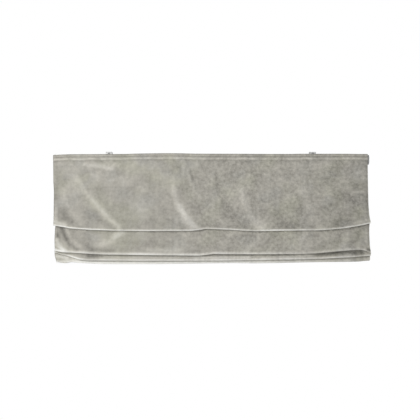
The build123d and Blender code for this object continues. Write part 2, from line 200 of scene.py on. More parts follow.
# Lines of the photograph, in its pixels: the top edge and the lowest edge of each fold
top_edge = [(53, 155.0), (60, 154.5), (70, 154.1), (100, 153.9), (126, 153.8), (136, 153.4),
            (150, 153.2), (165, 153.0), (180, 153.1), (196, 153.5), (240, 153.6), (270, 153.8),
            (292, 153.8), (300, 153.6), (346, 153.6), (358, 153.8), (369, 153.8)]
fold_edges = [
    [(53, 225.4), (62, 226.9), (70, 228.4), (90, 229.9), (116, 230.8), (150, 231.1),
     (192, 230.9), (199, 230.1), (206, 229), (214, 229.2), (230, 229.8), (242, 230.6),
     (256, 231.3), (280, 230.7), (319, 230.4), (331, 229.6), (343, 228.4), (355, 226.3),
     (361, 224.9), (367, 223.5), (370.7, 222.6)],
    [(54, 251), (62, 252.5), (80, 253.4), (100, 254.6), (111, 254.8), (160, 255.4),
     (200, 255.8), (207, 255), (214, 254.1), (240, 254.4), (260, 254.4), (300, 254.2),
     (315, 253.6), (338, 251.5), (350, 250.4), (359, 249.9), (363, 250.8), (367, 252.9),
     (370.7, 253.4)],
    [(54, 252.8), (59, 254.3), (67, 256.2), (79, 259.8), (87, 260.8), (140, 261.1),
     (207, 261), (240, 260.7), (260, 260.3), (300, 259.6), (320, 259.1), (351, 257.5),
     (370.7, 255.7)],
]
hem_edge = [(53.7, 262), (57, 262.9), (60, 263.5), (64, 263.6), (67, 262.8), (70, 262.3),
            (76, 263.1), (82, 263.5), (88, 263.8), (100, 264.4), (112, 264.5), (136, 264.5),
            (160, 264.5), (184, 264.1), (208, 263.8), (232, 263.5), (256, 263.8), (280, 263.4),
            (300, 262.9), (322, 262.5), (346, 262.3), (358, 262), (364, 261.3), (370, 260.9)]

# How strong the painted sheen is along each fold's lowest edge: column, share
fold_shine = [
    [(53, 1.2), (100, 1.2), (150, 1.15), (195, 1.2), (203, 0.7), (213, 0.6), (225, 1),
     (255, 1.15), (272, 1.4), (292, 1.3), (310, 0.8), (345, 1.1), (369, 1.5)],
    [(53, 1.3), (75, 1), (100, 0.9), (130, 1.1), (150, 1.2), (180, 1.1), (207, 0.9), (260, 0.9),
     (320, 0.5), (355, 0.6)],
    [(53, 1), (207, 1.1), (260, 0.9), (355, 0.8)],
]
# Share of the painted light along the hem's edge: column, share
hem_shine = [(53, 0.25), (66, 0.4), (78, 1.2), (100, 1.35), (207, 1.2), (260, 1.1), (320, 0.65),
             (355, 0.35)]

# Strength and width of that painted sheen on each fold's front, and on what lies behind it, how
# far up it starts, and how uneven it is: amount and wavelength
front_light = ((1.2, 6.2), (0.95, 10), (1.1, 7))
behind_light = (0.95, 9)
light_start = 1.5
light_uneven = (0.18, 70)

# The painted light on the hem, in two equal parts: the height where each starts to fade, and the
# length that it fades over; its most, and the depth over which it ends round the edge
hem_lights = ((7, 7), (2.5, 4))
hem_most = 1.3
hem_turn_fade = 1.6

# The side edges of the three fronts and the hem, as (row, column) in pixels
left_edges = [
    [(155, 52.6), (182, 53.1), (190, 53.7), (215, 53.7), (224, 53.6)],
    [(218, 56.2), (229, 54.8), (240, 54.3), (251, 54.6)],
    [(246, 56.2), (250, 54), (256, 54)],
    [(246, 56), (250, 53.8), (256, 53.8), (259, 54.8), (262, 55.6), (264, 56.6)],
]
right_edges = [
    [(154, 368), (170, 368.2), (190, 368.3), (205, 368.5), (214, 369.2), (219, 370),
     (223, 370.9)],
    [(212, 366.4), (220, 369.4), (224, 369.8), (228, 369.5), (234, 369.5), (245, 370),
     (250, 370.6), (254, 371.7)],
    [(244, 366.6), (250, 369.4), (253, 371.6), (256, 371.4)],
    [(246, 368), (252, 370.8), (260.2, 371), (262, 369.3)],
]

# Creases and ridges in the cloth: line in pixels, half width in pixels, height in
# millimetres, and tone: painted highlight on ridges and painted shade in creases and under folds,
# partly the brushed pile's own tone
panel_marks = [
    (((78, 178), (85, 190), (97, 205), (109, 218), (121, 229)), 3, 2.6, 0.22),
    (((92, 199), (105, 213), (119, 227)), 2.6, 0, 0.15),
    (((96, 216), (105, 223), (116, 229)), 3.8, -1.5, -0.24),
    (((86, 208), (92, 216)), 3.6, -0.8, -0.08),
    (((90, 176), (95, 190), (104, 204)), 3, 0, -0.09),
    (((53.5, 200), (53.5, 210)), 1.6, 0, -0.2),
    (((56, 213), (57, 221)), 2, 0, 0.14),
    (((65, 213), (70, 221), (78, 228)), 4.4, -1.2, -0.3),
    (((53, 172), (62, 192), (70, 208), (82, 224)), 2.4, 0.8, 0.1),
    (((52, 186), (56, 198)), 2, -0.8, -0.1),
    (((62, 219), (72, 222)), 2.4, -0.6, -0.16),
    (((174, 188), (178, 205), (184, 216), (192, 228)), 3.4, 2.2, 0.27),
    (((181, 206), (187, 216), (193, 223), (199, 228)), 2.8, 1.2, 0.28),
    (((190, 220), (195, 227)), 2.6, 0, 0.16),
    (((188, 188), (194, 206), (204, 219)), 5.5, -1.2, -0.12),
    (((164, 212), (172, 222), (184, 228)), 3, -0.8, -0.08),
    (((84, 164.5), (96, 166), (112, 168.5)), 2, 1.4, 0.36),
    (((112, 166), (115, 163.5), (118, 166.5), (120, 164)), 1, 0.8, 0.16),
    (((95, 163.5), (104, 164.5)), 1.5, 0.5, 0.16),
    (((112, 181), (125, 176), (135, 163)), 2.6, 0.8, 0.13),
    (((92, 175), (96, 179)), 2.6, 0.6, 0.12),
    (((140, 178), (149, 172)), 4.5, 0.4, 0.07),
    (((165, 163), (171, 175)), 4, 0.4, 0.07),
    (((174, 160), (177, 167)), 1.3, -0.8, -0.13),
    (((186, 160), (190, 169), (193, 179)), 1.4, -1.2, -0.17),
    (((188, 170), (192, 184)), 1.8, 0.6, 0.12),
    (((178, 163), (182, 178)), 2, -0.5, -0.1),
    (((199, 160), (203, 169)), 1.6, -0.8, -0.12),
    (((216, 172), (219, 192)), 2.6, -1, -0.14),
    (((228, 178), (231, 196)), 5, 0.5, 0.05),
    (((228, 207), (235, 217), (246, 228)), 6, -1.2, -0.22),
    (((214, 208), (224, 224)), 2.6, 0.6, 0.07),
    (((242, 190), (247, 206), (253, 218), (263, 228)), 4.4, 1.9, 0.27),
    (((240, 178), (262, 169)), 5, -0.5, -0.06),
    (((268, 204), (274, 216), (286, 227)), 8, -0.9, -0.12),
    (((278, 172), (288, 182)), 5, 0.5, 0.08),
    (((300, 188), (309, 206), (316, 220), (324, 229)), 3.6, 1, 0.13),
    (((284, 224), (311, 226)), 3.4, -0.6, -0.19),
    (((326, 225), (336, 223)), 3, -0.6, -0.16),
    (((352, 200), (349, 212), (343, 227)), 9, -1, -0.24),
    (((330, 160), (338, 178)), 2.6, 0.5, 0.06),
    (((341, 162), (352, 173), (359, 187)), 5, -0.4, -0.11),
    (((318, 192), (330, 203)), 5, -0.3, -0.07),
    (((266, 204), (284, 189)), 4.5, 0.3, 0.08),
    (((314, 162), (326, 164)), 3.5, 0.3, 0.08),
    (((224, 163), (230, 173)), 3.5, -0.4, -0.09),
    (((113, 219), (140, 227)), 4, -0.4, -0.1),
    (((55, 160), (57, 172), (59, 212)), 3.5, -0.3, -0.08),
    (((333, 168), (335, 178)), 4, -0.4, -0.07),
    (((352, 193.2), (366, 191.8)), 1.4, 1, 0.2),
    (((354, 182), (366, 181)), 5, -0.8, -0.09),
    (((357, 173.5), (366, 171.5)), 1.3, 0.8, 0.14),
    (((202, 226), (238, 227)), 2.4, -0.8, -0.12),
    (((53, 221.5), (65, 225)), 2, 0.8, 0.46),
    (((356, 223), (370, 220)), 1.6, 0.5, 0.22),
    (((356, 203), (360, 216)), 4, -0.4, -0.12),
]
# The second fold's marks: mostly painted shade under the top fold, and painted highlights
second_marks = [
    (((61, 226), (65, 236), (70, 244), (77, 250)), 2.4, -1.8, -0.42),
    (((57.3, 226), (57.3, 237)), 1.2, -1, -0.3),
    (((66.5, 229), (68.5, 233)), 2, 0.6, 0.16),
    (((74, 240), (84, 250)), 1.5, 1.2, 0.1),
    (((84, 243), (91, 250)), 2.6, -1.2, -0.14),
    (((71, 233), (74, 239)), 2, -0.6, -0.12),
    (((98, 245), (109, 242), (123, 232)), 3.4, 1.2, 0.24),
    (((115, 236), (125, 230)), 3.4, 0.4, 0.26),
    (((238, 233), (256, 233.5)), 1.5, 0, 0.2),
    (((57, 241), (59, 245), (63, 250)), 2.8, 0.8, 0.55),
    (((58, 247), (66, 250.5)), 1.3, 0.4, 0.3),
    (((66, 240), (69, 246)), 1.3, -0.5, -0.16),
    (((57, 234), (59, 240)), 1.8, 0.4, -0.12),
    (((92, 250), (112, 250.5)), 3, 0, -0.24),
    (((128, 244), (142, 246)), 5, -0.4, -0.06),
    (((148, 250), (182, 251)), 2.2, 0.4, 0.28),
    (((232, 232), (222, 244)), 3.5, 0.4, 0.12),
    (((369, 227), (369, 245)), 0.8, 0, -0.3),
    (((368, 249.8), (370, 251)), 1.5, -0.5, -0.8),
    (((352, 228), (351, 238)), 2.6, -0.6, -0.2),
    (((303, 236), (310, 246)), 4, 0.3, 0.08),
    (((55.2, 226), (55.2, 236)), 0.8, 0, 0.3),
    (((55.2, 244), (55.4, 249)), 1, 0, 0.3),
    (((366.4, 229), (366.6, 246)), 0.9, 0, 0.12),
    (((176, 247), (192, 247)), 3.5, 0.3, 0.1),
    (((268, 235), (290, 233)), 4, 0.2, 0.07),
    (((322, 232), (336, 240)), 4, 0.3, 0.08),
    (((73, 229), (78, 240)), 3.5, -0.3, -0.08),
    (((243, 236), (230, 249)), 5.5, -0.7, -0.1),
    (((264, 231), (257, 241), (247, 250)), 3.2, 1, 0.16),
    (((273, 235), (263, 250)), 4, -0.9, -0.2),
    (((308, 231), (300, 240), (295, 250)), 5, 0.8, 0.18),
    (((331, 231), (317, 244)), 3.6, 0.6, 0.1),
    (((338, 241), (318, 250)), 3, -0.8, -0.16),
    (((348, 232), (333, 247)), 2.4, 0.5, 0.06),
    (((360, 229), (357, 238), (351, 246)), 3.4, -1, -0.28),
    (((349, 228), (338, 239)), 2.5, -0.4, -0.14),
    (((351, 236), (346, 243), (338, 250)), 2.8, 0.4, 0.16),
    (((352, 245), (360, 246)), 3, 0.5, 0.12),
]
# The third fold's marks: painted shade under the second fold and a painted highlight along its own
# edge
third_marks = [
    (((318, 254.8), (340, 252.5), (362, 252.5)), 2.2, -1.5, -0.42),
    (((57, 252.6), (66, 254.8)), 1, 0, -0.34),
    (((280, 256.2), (312, 255.8)), 1.3, 0, 0.22),
    (((68, 257), (74, 258.6), (82, 259.4)), 1.2, 0, 0.28),
    (((88, 255), (110, 255)), 1.8, 0, -0.16),
    (((87, 256.2), (102, 256.9)), 1.2, 0, -0.34),
    (((114, 254.2), (142, 254.6)), 1.6, 0, -0.14),
    (((100, 258), (300, 257.5)), 1.6, 0, 0.26),
    (((205, 257.4), (250, 257.4)), 1.6, 0, 0.24),
    (((194, 257.6), (203, 257.6)), 1.8, 0, 0.26),
    (((203, 255.9), (250, 255.4), (290, 255.2)), 0.9, 0, -0.3),
]
# The hem's marks: painted highlights on its left corner and a painted shade line
hem_marks = [
    (((55.5, 256), (60, 257.2), (66, 258)), 2.2, 0, 0.66),
    (((59, 259.6), (64, 260)), 0.9, 0, -0.16),
    (((55, 261.5), (68, 262)), 1.6, 0, 0.45),
]


def px_of(x):
    """The photograph's column at x."""
    return photo_middle_x + x / pixel


def py_of(depth):
    """The photograph's row at a depth."""
    return photo_rim_y + depth / pixel


def x_of(px):
    """The x of a photograph's column."""
    return (px - photo_middle_x) * pixel


def depth_of(py):
    """The depth of a photograph's row."""
    return (py - photo_rim_y) * pixel


# Steps round a bend, waves in a field, the share of a side that a bend may take, and how
# far, in pixels, the corners of the photograph's lines are eased
arc_steps = 9
wave_count = 14
bend_share = 0.495
ease_steps = np.linspace(-2, 2, 9)
ease_weights = np.exp(-(ease_steps ** 2))
ease_weights /= ease_weights.sum()
edge_ease = 1.2
side_ease = 1.0
share_ease = 3.0


def eased(points, at, reach):
    """Values between points (place, value), with the corners eased over a reach."""
    places, values = np.array(points, float).T
    around = np.asarray(at, float)[..., None] + ease_steps * reach
    return np.interp(around, places, values) @ ease_weights


def edge_depth(points, x):
    """The depth at x of a line of the photograph."""
    return depth_of(eased(points, px_of(x), edge_ease))


def bump(value, centre, half_width):
    """A smooth hump, 1 at its centre."""
    return np.exp(-(((value - centre) / half_width) ** 2))


def smooth_step(value):
    """0 to 1 with easy ends."""
    t = np.clip(value, 0, 1)
    return t * t * (3 - 2 * t)


def ripples(a, b, wavelength, seed):
    """A smooth uneven field over a and b, about -1 to 1, with waves near one length."""
    rng = np.random.default_rng(seed)
    field = np.zeros(np.broadcast(a, b).shape)
    for _ in range(wave_count):
        angle = rng.uniform(0, pi)
        length = wavelength * rng.uniform(0.7, 1.5)
        phase = rng.uniform(0, 2 * pi)
        field += np.sin(2 * pi * (a * np.cos(angle) + b * np.sin(angle)) / length + phase)
    return field * (2 / wave_count) ** 0.5 / 1.6


def waves_at(waves, x, depth):
    """Several uneven fields added up, each as (amount, wavelength, seed)."""
    return sum(amount * ripples(x, depth, length, seed) for amount, length, seed in waves)


def line_distance(px, py, line):
    """How far each pixel place is from a line of points."""
    best = np.full(px.shape, 1e9)
    for (ax, ay), (bx, by) in zip(line, line[1:]):
        run = (bx - ax) ** 2 + (by - ay) ** 2
        t = np.clip(((px - ax) * (bx - ax) + (py - ay) * (by - ay)) / run, 0, 1)
        best = np.minimum(best, np.hypot(px - ax - t * (bx - ax), py - ay - t * (by - ay)))
    return best


def marks_at(marks, x, depth):
    """Height, and tone of painted light and shade with the pile's own, that the creases and ridges
    give at each place.
    """
    px, py = px_of(x), py_of(depth)
    height, tone = np.zeros(px.shape), np.zeros(px.shape)
    for line, half_width, rise, light in marks:
        share = np.exp(-((line_distance(px, py, line) / half_width) ** 2))
        height += rise * share
        tone += light * share
    return height, tone


def rounded(points, radii):
    """A dense line along a path of (y, depth) points, its corners rounded."""
    points = np.array(points, float)
    line = [points[0]]
    for before, corner, after, radius in zip(points, points[1:], points[2:], radii):
        toward, away = before - corner, after - corner
        run_in, run_out = np.hypot(*toward), np.hypot(*away)
        toward, away = toward / run_in, away / run_out
        half_turn = np.arccos(np.clip(toward @ away, -1, 1)) / 2
        if half_turn > pi / 2 - 1e-3:
            continue
        reach = min(radius / tan(half_turn), bend_share * run_in, bend_share * run_out)
        size = reach * tan(half_turn)
        inward = (toward + away) / np.hypot(*(toward + away))
        centre = corner + inward * size / np.sin(half_turn)
        start, end = corner + toward * reach - centre, corner + away * reach - centre
        sweep = pi - 2 * half_turn
        for t in np.linspace(0, 1, arc_steps):
            share = (np.sin((1 - t) * sweep) * start + np.sin(t * sweep) * end) / np.sin(sweep)
            line.append(centre + share)
    line.append(points[-1])
    return np.array(line)


def layer_y(layer):
    """The middle of a layer of cloth at the rods, counted forwards from its sleeve."""
    return first_layer_y - layer * layer_pitch


def fold_depth(fold, x):
    """The depth of the middle line at a fold's lowest edge."""
    return float(edge_depth(fold_edges[fold], x)) - cloth_thick / 2


def rising_part(fold, x):
    """The cloth behind a fold, from its lowest edge up to the rod it is sewn to."""
    bottom, front, width = fold_depth(fold, x), -fold_fronts[fold], fold_widths[fold]
    points = [(front + width / 2, bottom), (front + width, bottom)]
    radii = [width / 2 - turn_slack]
    for row in reversed(range(fold + 1, 3)):
        points.append((layer_y(2 * (row - fold) + 1), rod_depths[row] - pass_above_rod))
        radii.append(pass_bend_behind)
    if fold < 2:
        points.append((layer_y(1), rod_depths[fold] + sewn_below_rod))
        radii.append(sewn_bend)
    apex = rod_depths[fold] - apex_above_rod
    points += [(layer_y(1), apex), (layer_y(0.5), apex)]
    radii.append(apex_bend)
    return points, radii


def falling_start(fold):
    """The cloth from above a rod down past the rods below it, before it hangs free."""
    apex = rod_depths[fold] - apex_above_rod
    points, radii = [(layer_y(0.5), apex), (layer_y(0), apex)], [apex_bend]
    if fold < 2:
        points.append((layer_y(0), rod_depths[fold] + sewn_below_rod))
        radii.append(sewn_bend)
    for row in range(fold + 1, 3):
        points.append((layer_y(2 * (row - fold)), rod_depths[row] - pass_above_rod))
        radii.append(pass_bend_front)
    return points, radii


def fold_end(fold, x):
    """The last two points of a part that ends in a fold's lowest edge."""
    bottom, front, width = fold_depth(fold, x), -fold_fronts[fold], fold_widths[fold]
    return [(front, bottom), (front + width / 2, bottom)], width / 2 - turn_slack


def panel_path(x):
    """The front of the top fold, from the rail to its lowest edge."""
    top = float(edge_depth(top_edge, x))
    points = [(cloth_y, top), (cloth_y, top + swell_start), (cloth_y - swell_forward, swell_depth)]
    end, radius = fold_end(0, x)
    return points + end, swell_bends + [radius]


def second_path(x):
    """The front of the second fold, from the first rod to its lowest edge."""
    points, radii = falling_start(0)
    end, radius = fold_end(1, x)
    behind_first = fold_widths[0] - fold_fronts[0] + cloth_thick + tuck_gap
    points.append((behind_first, fold_depth(0, x) - tuck_height))
    return points + end, radii + [tuck_bend, radius]


def third_path(x):
    """The front of the third fold, from the second rod to its lowest edge."""
    points, radii = falling_start(1)
    end, radius = fold_end(2, x)
    return points + end, radii + [radius]


def hem_path(x):
    """The last part, from the third rod down round the weight bar and up behind it."""
    points, radii = falling_start(2)
    bottom = float(edge_depth(hem_edge, x)) - cloth_thick / 2
    back = hem_width - hem_front
    stitched = cloth_thick + hem_gap - hem_front
    join = bottom - hem_pocket
    points += [(-hem_front, bottom - 2 * hem_turn), (-hem_front, bottom), (back, bottom),
               (back, join), (stitched, join - hem_step), (stitched, join - hem_step - hem_lap)]
    return points, radii + hem_bends


def row_shares(length, fine_start, fine_end, coarse):
    """Shares of a length, close together near its ends where asked."""
    places, at = [0.0], 0.0
    while at < length - fine_row / 2:
        near = at < fine_start or at > length - fine_end - coarse
        at += fine_row if near else coarse
        places.append(min(at, length))
    return np.array(places) / places[-1]


columns = np.linspace(-half_cloth, half_cloth, int(2 * half_cloth / column_step))
behind_columns = columns * (1 - behind_inset / half_cloth)


def strip(path, fine_start, fine_end, coarse=coarse_row):
    """Grids of y, depth and length along the cloth for one part, rows by columns."""
    lines = [rounded(*path(x)) for x in columns]
    lengths = [np.hypot(*np.diff(line, axis=0).T).sum() for line in lines]
    shares = row_shares(float(np.mean(lengths)), fine_start, fine_end, coarse)
    grids = []
    for line in lines:
        along = np.concatenate([[0], np.cumsum(np.hypot(*np.diff(line, axis=0).T))])
        at = shares * along[-1]
        grids.append((np.interp(at, along, line[:, 0]), np.interp(at, along, line[:, 1]), at))
    y, depth, along = (np.array([g[i] for g in grids]).T for i in range(3))
    return y, depth, along


def side_place(part, depth):
    """The x of the cloth's left and right edge at each depth of a part."""
    rows = py_of(depth)
    return tuple(x_of(eased(edges[part], rows, side_ease)) for edges in (left_edges, right_edges))


def spread(part, depth):
    """The x of each place of a part, its two edges drawn to where they show."""
    zone = 0.2
    across = columns / half_cloth
    left, right = side_place(part, depth)
    near_left = smooth_step((zone - 1 - across) / zone)
    near_right = smooth_step((zone - 1 + across) / zone)
    return columns + near_left * (left + half_cloth) + near_right * (right - half_cloth)


def spread_from_rod(part, depth, free):
    """The same for cloth that is narrower at its rod; free is 0 there and 1 well away from it."""
    return behind_columns + (spread(part, depth) - behind_columns) * free


def new_object(name, verts, faces, materials, material_index=None):
    """A smooth mesh object from points in millimetres."""
    mesh = bpy.data.meshes.new(name)
    mesh.from_pydata((np.asarray(verts) * MM).tolist(), [], [tuple(f) for f in faces])
    for material in materials:
        mesh.materials.append(material)
    if material_index is not None:
        mesh.polygons.foreach_set("material_index", np.asarray(material_index, np.int32))
    mesh.polygons.foreach_set("use_smooth", [True] * len(mesh.polygons))
    obj = bpy.data.objects.new(name, mesh)
    bpy.context.scene.collection.objects.link(obj)
    return obj


def grid_faces(rows, cols, offset=0, flip=False):
    """The quads of a grid of points."""
    r, c = np.meshgrid(np.arange(rows - 1), np.arange(cols - 1), indexing="ij")
    a = (r * cols + c).ravel() + offset
    quads = np.stack([a, a + 1, a + cols + 1, a + cols], 1)
    return quads[:, ::-1] if flip else quads


def grid_normals(points):
    """Unit normals of a grid of points."""
    down = np.gradient(points, axis=0)
    across = np.gradient(points, axis=1)
    normals = np.cross(down, across)
    return normals / np.linalg.norm(normals, axis=2, keepdims=True)


def border(rows, cols, offset):
    """The quads that close a shell at its top and bottom, and those at its sides."""
    def strip_faces(first, second):
        return [(first[i], second[i], second[i + 1], first[i + 1]) for i in range(len(first) - 1)]
    top = np.arange(cols)
    bottom = (rows - 1) * cols + np.arange(cols)
    left = np.arange(rows) * cols
    right = left + cols - 1
    ends = strip_faces(top, top + offset) + strip_faces(bottom + offset, bottom)
    sides = strip_faces(left + offset, left) + strip_faces(right, right + offset)
    return ends, sides


def cloth_shell(name, middle, along, tone, half, materials, back_index, front_index=0):
    """A closed sheet round a grid of middle points, with its pile tone and painted light and shade,
    and its map.
    """
    rows, cols = middle.shape[:2]
    offset = grid_normals(middle) * half
    verts = np.concatenate([(middle + offset).reshape(-1, 3), (middle - offset).reshape(-1, 3)])
    ends, sides = border(rows, cols, rows * cols)
    faces = np.concatenate([grid_faces(rows, cols, 0, True), grid_faces(rows, cols, rows * cols),
                            np.array(ends), np.array(sides)])
    quads = (rows - 1) * (cols - 1)
    index = np.zeros(len(faces), int)
    index[:quads] = np.broadcast_to(front_index, back_index.shape).ravel()
    index[quads:2 * quads] = back_index.ravel()
    obj = new_object(name, verts, faces, materials, index)
    flat = np.zeros(len(faces), bool)
    flat[2 * quads:2 * quads + len(ends)] = True
    obj.data.polygons.foreach_set("use_smooth", ~flat)
    pile_and_painted_light = obj.data.attributes.new("pile_tone_and_painted_light", "FLOAT", "POINT")
    pile_and_painted_light.data.foreach_set("value", np.tile(tone.ravel(), 2).astype(np.float32))
    add_cloth_map(obj.data, along)
    return obj


def add_cloth_map(mesh, along):
    """A map of the flat cloth in metres, across and along, the same on its front and back."""
    place = np.stack([np.broadcast_to(columns, along.shape), along], 2).reshape(-1, 2) * MM
    corners = np.zeros(len(mesh.loops), np.int32)
    mesh.loops.foreach_get("vertex_index", corners)
    layer = mesh.uv_layers.new(name="cloth")
    layer.uv.foreach_set("vector", np.tile(place, (2, 1))[corners].astype(np.float32).ravel())


def points_of(x, y, depth):
    """Grid points from x, y and depth."""
    return np.stack([np.broadcast_to(x, y.shape), y, rim_z - depth], 2)


def hem_faces(rows):
    """1 for the faces of the back that are lining, 0 for the velvet turned in at the sides."""
    centres = (columns[1:] + columns[:-1]) / 2
    lining = (half_cloth - np.abs(centres) > side_hem).astype(int)
    return np.broadcast_to(lining, (rows - 1, len(centres)))


def shine_share(points, x):
    """A share given along the photograph's columns, at x."""
    return eased(points, px_of(x), share_ease)


def fold_light(shine, x, gap, light, seed):
    """A painted sheen highlight just above a fold's lowest edge, gap being the way up from it."""
    strength, width = light
    uneven = 1 + waves_at([(*light_uneven, seed)], x, gap)
    fade = smooth_step(1 - (gap - light_start) / width)
    return strength * shine_share(shine, x) * uneven * fade


def header_form(x, below_top):
    """Height and painted light and shade of the header: its top fold, stitch line and tape ridge.
    """
    wander = waves_at([header_wander], x, 0 * below_top)
    broken = 1 + waves_at([header_broken], x, 0 * below_top)
    welt_light_share = 1 + waves_at([header_welt_light_uneven], x, below_top)
    height, tone = np.zeros(x.shape), np.zeros(x.shape)
    for row, shift, share in ((header_edge, 0, 1), (header_welt, 0, welt_light_share), (header_seam, 0, 1),
                              (header_ridge, wander, broken), (header_groove, wander, 1)):
        place, half_width, rise, light = row
        form = bump(below_top, place + shift, half_width)
        height += rise * form
        tone += light * form * share
    return height, tone


def side_shade(x, gap):
    """Painted shade at the front's right edge, and at its left edge above the fold, where the side
    hem rolls back.
    """
    above_fold = smooth_step((gap - hang_fade) / hang_fade)
    left = bump(half_cloth + x, side_width, dark_left) * above_fold
    return -side_dark * (left + bump(half_cloth - x, 0, dark_right))


def make_panel(materials):
    """The front of the top fold, with its header."""
    y, depth, along = strip(panel_path, fine_header, fine_edge)
    x = spread(0, depth)
    below_top = depth - edge_depth(top_edge, columns)
    gap = along[-1] - along
    hang = smooth_step((below_top - waves_start) / hang_fade)
    height, tone = marks_at(panel_marks, x, depth)
    header_height, header_tone = header_form(x, below_top)
    height = hang * (height + waves_at(panel_waves, x, depth)) + header_height
    turned = bump(half_cloth - np.abs(columns), 0, side_width)
    height -= side_drop * turned * smooth_step(below_top / marks_start)
    tone *= smooth_step((below_top - marks_start) / (marks_full - marks_start))
    tone += header_tone + side_shade(x, gap)
    tone += fold_light(fold_shine[0], x, gap, front_light[0], 5)
    y = y - height * smooth_step(gap / edge_fade + 0.5)
    obj = cloth_shell("velvet_panel", points_of(x, y, depth), along, tone, cloth_thick / 2,
                      materials, hem_faces(len(y)))
    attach(obj, "rail")
    header_row = int(np.argmin(np.abs(below_top.mean(axis=1) - header_seam[0])))
    return obj, float(np.mean(along[-1])), header_row


def make_rising(fold, materials):
    """The cloth behind a fold, from its lowest edge up over the rod it is sewn to."""
    y, depth, along = strip(lambda x: rising_part(fold, x), fine_edge, fine_apex, hidden_row)
    above_edge = depth[0] - depth
    x = spread_from_rod(fold, depth[:1] + 0 * depth, 1 - smooth_step(above_edge / hang_fade))
    height, tone = marks_at((panel_marks, second_marks, [])[fold], x, depth)
    fade = np.exp(-np.maximum(above_edge, 0) / lap_fade)
    tone = tone * fade + fold_light(fold_shine[fold], x, along, behind_light, 5 + fold)
    y = y - 0.5 * fade * height
    lining = hem_faces(len(y)) * (along[1:, 1:] > fold_turn)
    obj = cloth_shell(f"velvet_rise_{fold + 1}", points_of(x, y, depth), along, tone,
                      cloth_thick / 2, materials, np.zeros(lining.shape, int), lining)
    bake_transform(obj)
    return obj, float(np.mean(along[-1]))


def make_falling(fold, path, marks, waves, materials):
    """The front of a lower fold, from a rod down to its lowest edge."""
    y, depth, along = strip(path, fine_apex, fine_edge)
    free = smooth_step((along - fine_apex) / hang_fade)
    x = spread_from_rod(fold, depth, free)
    gap = along[-1] - along
    height, tone = marks_at(marks, x, depth)
    height += waves_at(waves, x, depth)
    tone += fold_light(fold_shine[fold], x, gap, front_light[fold], waves[0][2])
    y = y - height * free * smooth_step(gap / edge_fade + 0.5)
    obj = cloth_shell(f"velvet_fall_{fold + 1}", points_of(x, y, depth), along, tone,
                      cloth_thick / 2, materials, hem_faces(len(y)))
    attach(obj, bodies[fold])
    return obj, float(np.mean(along[-1]))


def hem_tone(x, y, depth, above):
    """The hem's tone: painted light towards its edge, where its rounded underside catches light,
    with its painted marks, on its front only.
    """
    low = sum(smooth_step(1 - (above - start) / reach) for start, reach in hem_lights) / 2
    tone = shine_share(hem_shine, x) * low + marks_at(hem_marks, x, depth)[1]
    in_front = smooth_step((hem_width / 2 - hem_front - y) / hem_turn_fade)
    return np.minimum(tone, hem_most) * in_front


def make_hem(materials):
    """The last part of the cloth, from the third rod to the pocket of the weight bar."""
    y, depth, along = strip(hem_path, fine_apex, fine_hem)
    free = smooth_step((along - fine_apex) / hang_fade)
    x = spread_from_rod(3, depth, free)
    above = edge_depth(hem_edge, columns) - depth
    tone = hem_tone(x, y, depth, above)
    y = y - waves_at(hem_waves, x, depth) * smooth_step(above / hem_fade) * free
    obj = cloth_shell("velvet_hem", points_of(x, y, depth), along, tone,
                      cloth_thick / 2 - hem_thinner, materials, hem_faces(len(y)))
    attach(obj, "rod_row_3")
    length = float(np.mean(along[-1]))
    lap_row = int(np.argmin(np.abs(along.mean(axis=1) - (length - hem_lap / 2))))
    return obj, length, lap_row


# Sleeves, tapes, cords and stitches
any_side = (0.31, 0.92, 0.24)
sleeve_step = 3.0
sleeve_sides = 32
sleeve_bore = 2.4
sleeve_inset = 0.1
seam_angle = np.radians(139)
seam_height = 1.4
seam_width = 0.22
crease_angle = 3.6
crease_fade = 0.6
crease_depth = 0.22
crease_length = 11
crease_round = 6
gather_depth = 0.15
gather_width = 0.5
gather_length = 7
tape_step = 4.0
tape_corner = 0.35
tape_corner_steps = 5
tape_wave = (0.12, 90)
cord_gap = 0.02
turn_steps = 14
turn_sides = 7
cord_steps = 12
cord_sides = 10
cord_clear = 5.0
knot_rise = 0.8
knot_drop = 3.4
knot_swell = 1.1
knot_place = 0.42
knot_length = 0.2
stitch_sides = 6
stitch_length = 2.9
stitch_pitch = 3.7
thread_radii = 0.32 * np.array([0.45, 1.0, 1.1, 1.0, 0.45])


def unit(vectors):
    """Vectors of length 1."""
    return vectors / np.linalg.norm(vectors, axis=-1, keepdims=True)


def tube(line, radius, sides):
    """Points and faces of a closed round bar along a line; the radius may vary."""
    line = np.asarray(line, float)
    radius = np.broadcast_to(radius, len(line))
    along = unit(np.gradient(line, axis=0))
    side = unit(np.cross(along[0], any_side))
    turn = np.linspace(0, 2 * pi, sides, endpoint=False)[:, None]
    rings = []
    for place, direction, size in zip(line, along, radius):
        side = unit(side - direction * (side @ direction))
        across = np.cross(direction, side)
        rings.append(place + size * (np.cos(turn) * side + np.sin(turn) * across))
    return np.concatenate(rings), ring_faces(len(line), sides)


def ring_sides(rings, sides, closed=False):
    """The faces between a row of rings of points, and back to the first if it is closed."""
    first = np.arange(sides)
    after = (first + 1) % sides
    faces = []
    for ring in range(rings if closed else rings - 1):
        low, high = ring * sides, (ring + 1) % rings * sides
        faces += [(low + a, low + b, high + b, high + a) for a, b in zip(first, after)]
    return faces


def ring_faces(rings, sides):
    """The faces of a row of rings of points, with both ends closed."""
    first = np.arange(sides)
    last = first + (rings - 1) * sides
    return [tuple(first[::-1]), *ring_sides(rings, sides), tuple(last)]


